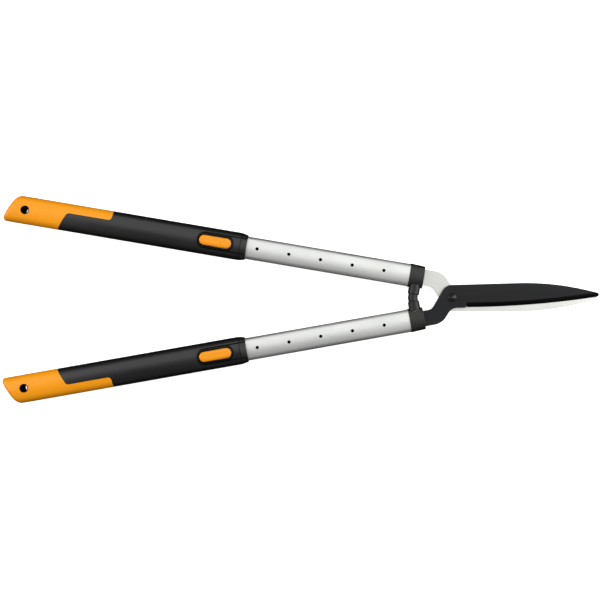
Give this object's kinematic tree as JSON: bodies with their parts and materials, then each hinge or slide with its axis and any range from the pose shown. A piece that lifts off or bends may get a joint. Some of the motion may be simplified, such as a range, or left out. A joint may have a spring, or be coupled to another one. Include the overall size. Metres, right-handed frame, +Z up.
{
  "type": "hedge shears",
  "caption": "Hedge shears with flat wavy-necked blades on a bolt pivot and oval telescopic handles that lock in steps by a rocking button.",
  "frame": {"origin": "centre of the bounding box in plan, on the surface that the shears lie on", "axes": "+X along the bisector of the handles towards the blade tips, +Y towards the upper handle, +Z up towards the lock buttons"},
  "size_m": [0.9112, 0.317, 0.0313],
  "materials": {
    "coated_steel": "matte low-friction coating",
    "bare_steel": "satin",
    "black_steel": "black oxide",
    "bush_brass": "plain",
    "plated_steel": "zinc plated",
    "tube_aluminium": "satin anodised",
    "collar_plastic": "moulded",
    "bumper_rubber": "moulded",
    "inner_plastic": "moulded",
    "orange_plastic": "satin",
    "grip_rubber": "soft matte",
    "nose_plastic": "moulded",
    "tray_plastic": "moulded",
    "button_plastic": "satin"
  },
  "bodies": {
    "lower_arm": {"coated_blade": "coated_steel", "pivot_bolt": "black_steel", "pivot_bush": "bush_brass", "spring_washer": "plated_steel", "pivot_nut": "plated_steel", "lower_tube": "tube_aluminium", "lower_collar": "collar_plastic", "lower_bumper": "bumper_rubber", "lower_rivet": "plated_steel", "lower_tail_guide": "inner_plastic"},
    "upper_arm": {"bare_blade": "bare_steel", "upper_tube": "tube_aluminium", "upper_collar": "collar_plastic", "upper_bumper": "bumper_rubber", "upper_rivet": "plated_steel", "upper_tail_guide": "inner_plastic"},
    "lower_grip": {"lower_grip_core": "orange_plastic", "lower_grip_sleeve": "grip_rubber", "lower_grip_nose": "nose_plastic", "lower_lock_tray": "tray_plastic", "lower_button_pin": "plated_steel", "lower_button_spring": "plated_steel", "lower_hang_eyelet": "tray_plastic"},
    "lower_button": {"lower_lock_button": "button_plastic", "lower_lock_pin": "plated_steel"},
    "upper_grip": {"upper_grip_core": "orange_plastic", "upper_grip_sleeve": "grip_rubber", "upper_grip_nose": "nose_plastic", "upper_lock_tray": "tray_plastic", "upper_button_pin": "plated_steel", "upper_button_spring": "plated_steel", "upper_hang_eyelet": "tray_plastic"},
    "upper_button": {"upper_lock_button": "button_plastic", "upper_lock_pin": "plated_steel"}
  },
  "joints": [
    {"name": "open_blades", "type": "hinge", "parent": "lower_arm", "child": "upper_arm", "pos_m": [0.23089, 0, 0.0155], "axis": [0, 0, -1], "range_deg": [0, 70]},
    {"name": "lower_grip_slide", "type": "slide", "parent": "lower_arm", "child": "lower_grip", "axis": [0.9854, 0.1702, 0], "range_m": [0, 0.245]},
    {"name": "lower_button_rock", "type": "hinge", "parent": "lower_grip", "child": "lower_button", "pos_m": [-0.13881, -0.0875, 0.0269], "axis": [0.1702, -0.9854, 0], "range_deg": [0, 5], "stiffness_Nm_per_rad": 0.9, "springref_deg": -2.86, "deforming": ["lower_button_spring"]},
    {"name": "upper_grip_slide", "type": "slide", "parent": "upper_arm", "child": "upper_grip", "axis": [0.9854, -0.1702, 0], "range_m": [0, 0.245]},
    {"name": "upper_button_rock", "type": "hinge", "parent": "upper_grip", "child": "upper_button", "pos_m": [-0.13881, 0.0875, 0.0269], "axis": [-0.1702, -0.9854, 0], "range_deg": [0, 5], "stiffness_Nm_per_rad": 0.9, "springref_deg": -2.86, "deforming": ["upper_button_spring"]}
  ]
}
